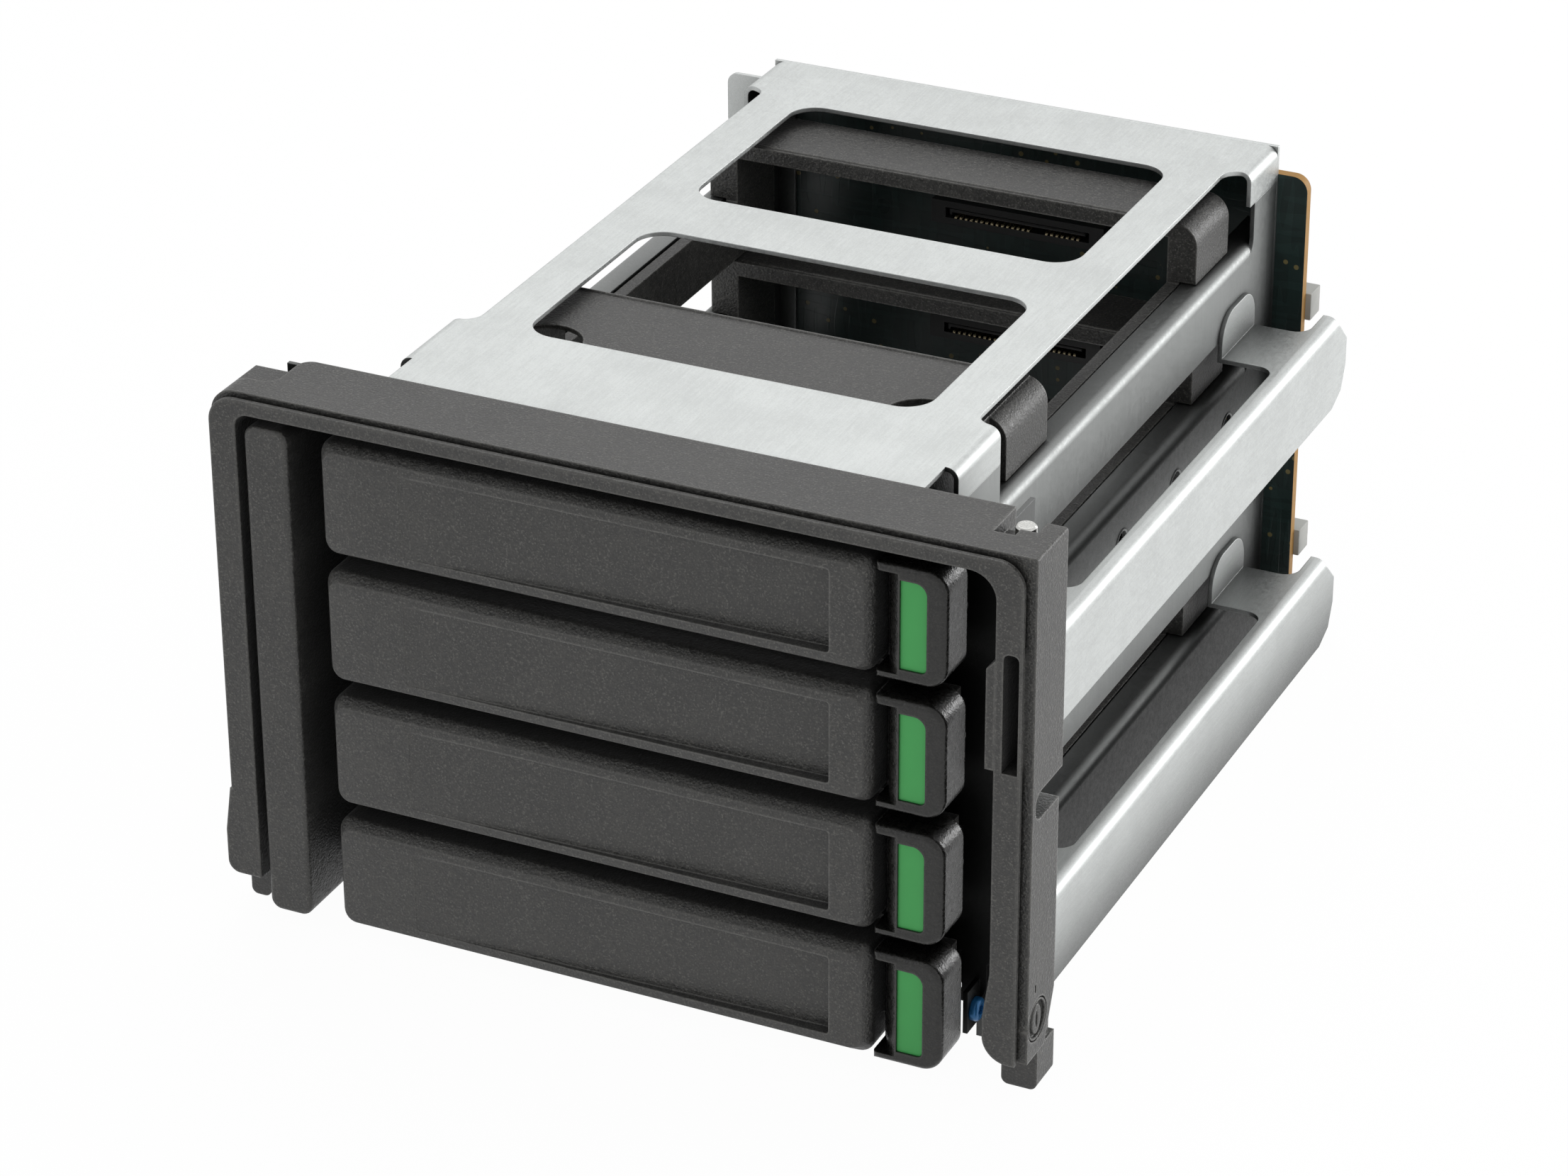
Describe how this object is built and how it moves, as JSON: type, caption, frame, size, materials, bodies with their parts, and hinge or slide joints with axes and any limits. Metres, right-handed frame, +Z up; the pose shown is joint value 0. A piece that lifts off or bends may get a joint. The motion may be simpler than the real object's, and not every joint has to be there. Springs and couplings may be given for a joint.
{
  "type": "hard drive cage",
  "caption": "Sheet steel drive cage with a black moulded bezel, latched pull-out drive carriers on folded ledges, outer guide rails and a backplane board with sockets.",
  "frame": {"origin": "middle of the footprint, on the surface that the cage stands on", "axes": "+X to the latch side, +Y from the panels to the backplane, +Z up"},
  "size_m": [0.1784, 0.2178, 0.12],
  "materials": {
    "zinc_sheet": "bright zinc-coated sheet",
    "black_plastic": "fine grain with smoother edges",
    "green_plastic": "smooth satin",
    "board": "solder resist with bare edges",
    "socket_plastic": "moulded",
    "header_plastic": "moulded",
    "plain_steel": "plated",
    "blue_paint": "blue"
  },
  "bodies": {
    "cage": {"top_plate": "zinc_sheet", "side_wall_right": "zinc_sheet", "side_wall_left": "zinc_sheet", "bottom_plate": "zinc_sheet", "front_frame": "zinc_sheet", "guide_rail_upper": "zinc_sheet", "guide_rail_lower": "zinc_sheet", "rear_frame": "zinc_sheet", "bezel_frame": "black_plastic", "bay_strip": "black_plastic", "foot_right": "black_plastic", "foot_left": "black_plastic", "backplane_board": "board", "rear_header_upper": "header_plastic", "rear_header_lower": "header_plastic", "board_screws": "plain_steel", "bezel_stud": "plain_steel", "blue_screw": "blue_paint", "bay1_socket": "socket_plastic", "bay2_socket": "socket_plastic", "bay3_socket": "socket_plastic", "bay4_socket": "socket_plastic"},
    "carrier_1": {"bay1_carrier": "black_plastic", "bay1_panel": "black_plastic", "bay1_drive_pins": "plain_steel", "bay1_latch_pin": "plain_steel"},
    "latch_1": {"bay1_latch": "black_plastic", "bay1_latch_pad": "green_plastic", "bay1_latch_spring": "plain_steel"},
    "carrier_2": {"bay2_carrier": "black_plastic", "bay2_panel": "black_plastic", "bay2_drive_pins": "plain_steel", "bay2_latch_pin": "plain_steel"},
    "latch_2": {"bay2_latch": "black_plastic", "bay2_latch_pad": "green_plastic", "bay2_latch_spring": "plain_steel"},
    "carrier_3": {"bay3_carrier": "black_plastic", "bay3_panel": "black_plastic", "bay3_drive_pins": "plain_steel", "bay3_latch_pin": "plain_steel"},
    "latch_3": {"bay3_latch": "black_plastic", "bay3_latch_pad": "green_plastic", "bay3_latch_spring": "plain_steel"},
    "carrier_4": {"bay4_carrier": "black_plastic", "bay4_panel": "black_plastic", "bay4_drive_pins": "plain_steel", "bay4_latch_pin": "plain_steel"},
    "latch_4": {"bay4_latch": "black_plastic", "bay4_latch_pad": "green_plastic", "bay4_latch_spring": "plain_steel"},
    "dial": {"lock_dial": "black_plastic"}
  },
  "joints": [
    {"name": "carrier_1_slide", "type": "slide", "parent": "cage", "child": "carrier_1", "axis": [0, -1, 0], "range_m": [0, 0.14]},
    {"name": "latch_1_pivot", "type": "hinge", "parent": "carrier_1", "child": "latch_1", "pos_m": [0.0643, -0.0944, 0.1005], "axis": [0, 0, 1], "range_deg": [0, 8], "stiffness_Nm_per_rad": 0.05},
    {"name": "carrier_2_slide", "type": "slide", "parent": "cage", "child": "carrier_2", "axis": [0, -1, 0], "range_m": [0, 0.14]},
    {"name": "latch_2_pivot", "type": "hinge", "parent": "carrier_2", "child": "latch_2", "pos_m": [0.0643, -0.0944, 0.072], "axis": [0, 0, 1], "range_deg": [0, 8], "stiffness_Nm_per_rad": 0.05},
    {"name": "carrier_3_slide", "type": "slide", "parent": "cage", "child": "carrier_3", "axis": [0, -1, 0], "range_m": [0, 0.14]},
    {"name": "latch_3_pivot", "type": "hinge", "parent": "carrier_3", "child": "latch_3", "pos_m": [0.0643, -0.0944, 0.0435], "axis": [0, 0, 1], "range_deg": [0, 8], "stiffness_Nm_per_rad": 0.05},
    {"name": "carrier_4_slide", "type": "slide", "parent": "cage", "child": "carrier_4", "axis": [0, -1, 0], "range_m": [0, 0.14]},
    {"name": "latch_4_pivot", "type": "hinge", "parent": "carrier_4", "child": "latch_4", "pos_m": [0.0643, -0.0944, 0.015], "axis": [0, 0, 1], "range_deg": [0, 8], "stiffness_Nm_per_rad": 0.05},
    {"name": "lock_dial_turn", "type": "hinge", "parent": "cage", "child": "dial", "pos_m": [0.0892, -0.102, 0.0174], "axis": [1, 0, 0], "range_deg": [0, 90]}
  ]
}
